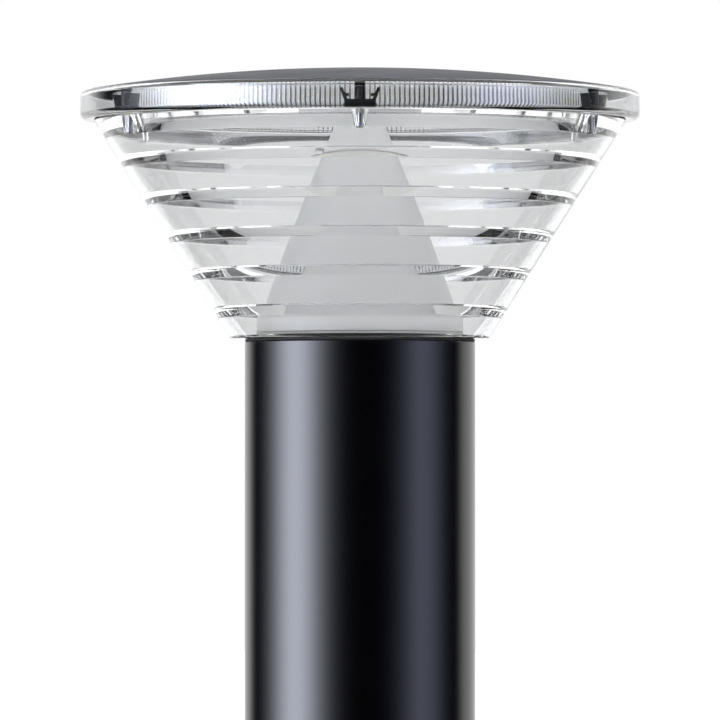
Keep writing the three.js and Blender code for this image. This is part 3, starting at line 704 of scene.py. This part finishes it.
def make_cap():
    """A shallow cast dome with a flat land under its middle and a lug over each clip."""
    def dome(r):
        return CAP_TOP - r * r / (2 * CAP_SPHERE_R)

    radii = [CAP_R * i / 24 for i in range(24)]
    under = [(r, dome(r) - CAP_SKIN) for r in radii if CAP_LAND_R < r < 160 * MM]
    crown = CAP_R - 0.6 * MM
    profile = [(0, CAP_LAND), (CAP_LAND_R, CAP_LAND), (CAP_LAND_R, dome(CAP_LAND_R) - CAP_SKIN),
               *under, (CAP_EDGE_INNER_R, CAP_EDGE), (CAP_R - 0.3 * MM, CAP_EDGE),
               (CAP_R, CAP_EDGE + 0.3 * MM), (CAP_R, dome(CAP_R) - 0.6 * MM),
               (CAP_R - 0.2 * MM, dome(CAP_R) - 0.2 * MM), (crown, dome(crown)),
               *[(r, dome(r)) for r in reversed(radii)]]
    body = turned("cap_dome", profile, FINE, 30)
    lugs = [around(rod("lug", LUG_R, low("cap").z, LUG_TOP, SMALL), a, CLIP_CIRCLE)
            for a in CLIP_ANGLES]
    bores = [around(rod("bore", CLIP_BORE_R, LUG_BORE_LOW, LUG_BORE_TOP, SMALL), a, CLIP_CIRCLE)
             for a in CLIP_ANGLES]
    combined(body, joined("lugs", lugs), "UNION", 30)
    combined(body, joined("bores", bores), "DIFFERENCE", 30)
    finished(body, "cap_grey", "bollard", "cap")
    # The underside faces get the painted-shade black, so they read as dark shade through the clear
    # steps.
    body.data.materials.append(CAP_PAINTED_SHADE)
    for face in body.data.polygons:
        if face.normal.z < 0.3 and face.center.xy.length < CAP_R - 0.2 * MM:
            face.material_index = 1


def make_reflector():
    """A hollow spun cone, slightly bulged, standing on a low drum."""
    wall, drum, drum_hole = 2 * MM, reach("reflector"), 44 * MM
    bottom, tip = low("reflector").z, high("reflector").z
    cone_low, cone_high = 857 * MM, 965 * MM
    cone_r, neck_r, tip_r, bulge = 57.6 * MM, 16 * MM, 14 * MM, 4.5 * MM
    floor = bottom + 2.2 * MM
    steps = 40
    outer = []
    for i in range(steps + 1):
        t = i / steps
        r = cone_r * (1 - t) + neck_r * t + bulge * t * (1 - t)
        outer.append((r, cone_low + (cone_high - cone_low) * t))
    outer.append((tip_r, tip))
    inner = [(r - wall, z) for r, z in reversed(outer)]
    shoulder = filleted([(drum_hole, bottom), (drum, bottom, 0.4 * MM), (drum, 849.6 * MM, 2 * MM),
                         (57.8 * MM, 856.4 * MM)], 5, closed=False)
    inside_drum = [(drum - 3.4 * MM, 849.2 * MM), (drum - wall, 847.5 * MM), (drum - wall, floor),
                   (drum_hole, floor)]
    cone = turned("reflector_cone", shoulder + outer + inner + inside_drum, FINE, 30)
    finished(cone, "reflector_white", "bollard", "reflector")


def make_upper_reflector():
    """A white sheet ring round the light board, with a lip turned up at its edge."""
    name = "upper_reflector"
    bottom, top, outer = low(name).z, high(name).z, reach(name)
    inner, sheet = high("led_board").x + 1 * MM, 1 * MM
    body = turned("white_sheet", filleted([
        (inner, bottom, 0.3 * MM), (outer, bottom, 1.2 * MM), (outer, top, 0.3 * MM),
        (outer - sheet, top, 0.3 * MM), (outer - sheet, bottom + sheet, 0.3 * MM),
        (inner, bottom + sheet, 0.3 * MM)], 4))
    screw_circle, hole_r = 51 * MM, 2.1 * MM
    holes = [around(rod("hole", hole_r, bottom - BEYOND, top + BEYOND, SMALL),
                    math.radians(angle), screw_circle) for angle in (0, 120, 240)]
    combined(body, joined("holes", holes), "DIFFERENCE", 30)
    finished(body, "reflector_white", "bollard", name)


def make_seals():
    rings = {
        "post_top_gasket": ("top_seal", NECK_R, "black_rubber"),
        "diffuser_gasket": ("floor_seal", NECK_R, "clear_silicone"),
        "cap_gasket": ("rim_seal", 163.5 * MM, "black_rubber"),
    }
    edge = 0.25 * MM
    for node_name, (name, inside, slot) in rings.items():
        outside = reach(node_name)
        bottom, top = low(node_name).z, high(node_name).z
        seal = turned(name, filleted([(inside, bottom, edge), (outside, bottom, edge),
                                      (outside, top, edge), (inside, top, edge)], 3))
        finished(seal, slot, "bollard", node_name)


def make_light_chips():
    """Small square light packages set round the board."""
    board = low("led_board").z
    count, circle, half, thick, corner = 24, 24 * MM, 1.5 * MM, 0.6 * MM, 0.3 * MM
    outline = filleted([(-half, -half, corner), (half, -half, corner), (half, half, corner),
                        (-half, half, corner)], 3)
    chips = [around(prism("chip", outline, thick), TAU * i / count, circle, board - GAP - thick)
             for i in range(count)]
    finished(joined("light_chips", chips), "phosphor", "bollard", "led_ring")


def dress_cad_nodes():
    """The CAD pieces that stay get the same materials."""
    slots = {s["node"]: s["material_slot"] for s in frame["record"]["subparts"]}
    for name, obj in frame["nodes"].items():
        for holder in obj.material_slots:
            holder.material = LOOKS[slots[name]]


# ---- stage -------------------------------------------------------------------------------------
CAMERA_AWAY = 5.2        # metres in front of the post's axis
CAMERA_HIGH = 0.729
VIEW_HIGH = 0.8235       # height on the post's axis that the camera looks at
VIEW_WIDE = 0.4374       # width of the view there
SENSOR = 36.0            # width of the sensor in millimetres


def make_camera():
    data = bpy.data.cameras.new("camera")
    camera = bpy.data.objects.new("camera", data)
    bpy.context.scene.collection.objects.link(camera)
    camera.location = (0, -CAMERA_AWAY, CAMERA_HIGH)
    aim = Vector((0, 0, VIEW_HIGH)) - camera.location
    camera.rotation_mode = "QUATERNION"
    camera.rotation_quaternion = aim.to_track_quat("-Z", "Y")
    data.sensor_width = SENSOR
    data.lens = SENSOR * aim.length / VIEW_WIDE
    data.clip_start, data.clip_end = 0.5, 80
    bpy.context.scene.camera = camera


def make_lights():
    """A weak overhead softbox. It shows in no reflection and through no clear plastic."""
    data = bpy.data.lights.new("overhead", "AREA")
    data.shape = "RECTANGLE"
    data.size, data.size_y = 2.4, 1.8
    data.energy = 22
    light = bpy.data.objects.new("overhead", data)
    bpy.context.scene.collection.objects.link(light)
    light.location = (-0.8, -0.6, 3.0)
    light.rotation_mode = "QUATERNION"
    light.rotation_quaternion = (Vector((0, 0, 0.6)) - light.location).to_track_quat("-Z", "Y")
    light.visible_camera = False
    light.visible_transmission = False
    light.visible_glossy = False


class Sums:
    """Arithmetic in a node tree: each call adds one Math node and gives its result."""

    def __init__(self, tree):
        self.tree = tree

    def __call__(self, operation, *values):
        made = self.tree.nodes.new("ShaderNodeMath")
        made.operation = operation
        for socket, value in zip(made.inputs, values):
            if isinstance(value, (int, float)):
                socket.default_value = value
            else:
                self.tree.links.new(value, socket)
        return made.outputs["Value"]

    def bell(self, value, centre, spread, peak):
        """peak * exp(-((value - centre) / spread) ** 2)"""
        away = self("DIVIDE", self("SUBTRACT", value, centre), spread)
        square = self("MULTIPLY", away, away)
        return self("MULTIPLY", peak, self("EXPONENT", self("MULTIPLY", -1, square)))

    def ramp(self, value, start, end):
        """A soft step from 0 at start to 1 at end."""
        made = self.tree.nodes.new("ShaderNodeMapRange")
        made.interpolation_type = "SMOOTHSTEP"
        self.tree.links.new(value, made.inputs["Value"])
        made.inputs["From Min"].default_value = start
        made.inputs["From Max"].default_value = end
        return made.outputs["Result"]


LEFT_BOX = {"centre": math.radians(-67), "spread": math.radians(24.5), "peak": 10.0}
RIGHT_BOX = {"centre": math.radians(65), "spread": math.radians(21.5), "peak": 1.5}
LEFT_TINT = (0.95, 1.0, 1.16)
RIGHT_TINT = (0.94, 1.0, 1.38)
# The backdrop fades in between these headings, counted to the left and to the right of the front.
BACKDROP_LEFT = [math.radians(126), math.radians(150)]
BACKDROP_RIGHT = [math.radians(110), math.radians(130)]
BOX_TOP = [0.15, 0.4]       # sine of the elevation where the boxes and the backdrop fade out
CEILING = [0.75, 0.95]      # sine of the elevation where the ceiling fades in
CEILING_GLOW = 0.5
SOFT_BOOST = 0.95           # how much brighter than white the room is for soft light
NO_REFLECTION, ONE_REFLECTION = 0.5, 1.5       # limits for a ray's Glossy Depth


def make_world():
    """Plain white to the eye, through clear plastic and for soft light. What reflects sees the
    studio instead: a white backdrop behind, a softbox at each side and dark between them. After
    a second reflection it is dark all round."""
    world = bpy.data.worlds.new("studio")
    bpy.context.scene.world = world
    world.cycles.sampling_method = "NONE"
    world.use_nodes = True
    tree = world.node_tree
    tree.nodes.clear()
    sums = Sums(tree)

    def glow(color, strength):
        made = tree.nodes.new("ShaderNodeBackground")
        made.inputs["Color"].default_value = (*color, 1)
        tree.links.new(strength, made.inputs["Strength"])
        return made.outputs["Background"]

    def both(a, b):
        made = tree.nodes.new("ShaderNodeAddShader")
        tree.links.new(a, made.inputs[0])
        tree.links.new(b, made.inputs[1])
        return made.outputs["Shader"]

    where = tree.nodes.new("ShaderNodeTexCoord")
    split = tree.nodes.new("ShaderNodeSeparateXYZ")
    tree.links.new(where.outputs["Generated"], split.inputs["Vector"])
    east, north, up = split.outputs
    heading = sums("ARCTAN2", east, sums("MULTIPLY", north, -1))    # 0 in front, + to the right
    steep = sums("ABSOLUTE", up)
    level = sums("SUBTRACT", 1, sums.ramp(steep, *BOX_TOP))
    left = sums("MULTIPLY", level, sums.bell(heading, **LEFT_BOX))
    right = sums("MULTIPLY", level, sums.bell(heading, **RIGHT_BOX))
    backdrop = sums("ADD", sums.ramp(sums("MULTIPLY", heading, -1), *BACKDROP_LEFT),
                    sums.ramp(heading, *BACKDROP_RIGHT))
    overhead = sums("MULTIPLY", sums.ramp(up, *CEILING), CEILING_GLOW)
    path = tree.nodes.new("ShaderNodeLightPath")
    shallow = sums("LESS_THAN", path.outputs["Glossy Depth"], ONE_REFLECTION)
    rest = sums("MAXIMUM", sums("MULTIPLY", level, backdrop), overhead)
    studio = both(both(glow(LEFT_TINT, sums("MULTIPLY", left, shallow)),
                       glow(RIGHT_TINT, sums("MULTIPLY", right, shallow))),
                  glow((1, 1, 1), sums("MULTIPLY", rest, shallow)))
    clear = sums("MULTIPLY", path.outputs["Is Transmission Ray"],
                 sums("LESS_THAN", path.outputs["Glossy Depth"], NO_REFLECTION))
    plain = sums("MAXIMUM", clear, sums("MAXIMUM", path.outputs["Is Camera Ray"],
                                        path.outputs["Is Diffuse Ray"]))
    mix = tree.nodes.new("ShaderNodeMixShader")
    out = tree.nodes.new("ShaderNodeOutputWorld")
    tree.links.new(plain, mix.inputs["Fac"])
    tree.links.new(studio, mix.inputs[1])
    soft = sums("MULTIPLY", sums("MINIMUM", path.outputs["Diffuse Depth"], 1.0), SOFT_BOOST)
    tree.links.new(glow((1, 1, 1), sums("ADD", 1.0, soft)), mix.inputs[2])
    tree.links.new(mix.outputs["Shader"], out.inputs["Surface"])


def make_floor():
    """A pale disc, in rings that widen outward."""
    rings = [0, 0.5, 1, 2, 4, 8, 16, 40]
    sides = 96
    verts = [(r * math.cos(TAU * i / sides), r * math.sin(TAU * i / sides), 0)
             for r in rings[1:] for i in range(sides)]
    verts.append((0, 0, 0))
    faces = [((i + 1) % sides, len(verts) - 1, i) for i in range(sides)]
    for k in range(len(rings) - 2):
        for i in range(sides):
            j = (i + 1) % sides
            faces.append((k * sides + i, (k + 1) * sides + i, (k + 1) * sides + j, k * sides + j))
    floor = new_object("floor", verts, faces)
    pale = surface("pale_floor", (0.92, 0.92, 0.92), 0.8)
    mottled(pale, (0.915, 0.915, 0.915), (0.93, 0.93, 0.93), 3)
    shader_of(pale).inputs["Emission Color"].default_value = (1, 1, 1, 1)
    shader_of(pale).inputs["Emission Strength"].default_value = 0.12
    floor.data.materials.append(pale)
    floor.visible_glossy = False


def set_view():
    """Plain colours, and enough bounces for the walls of clear plastic one behind another."""
    scene = bpy.context.scene
    scene.view_settings.view_transform = "Standard"
    scene.cycles.max_bounces = 32
    scene.cycles.transmission_bounces = 32
    scene.cycles.glossy_bounces = 16


make_camera()
make_post()
make_door()
make_post_screws()
make_set_screws()
make_base()
make_diffuser()
make_rim()
make_clips()
make_cap_screws()
make_cap()
make_reflector()
make_upper_reflector()
make_seals()
make_light_chips()
dress_cad_nodes()
make_lights()
make_world()
make_floor()
set_view()
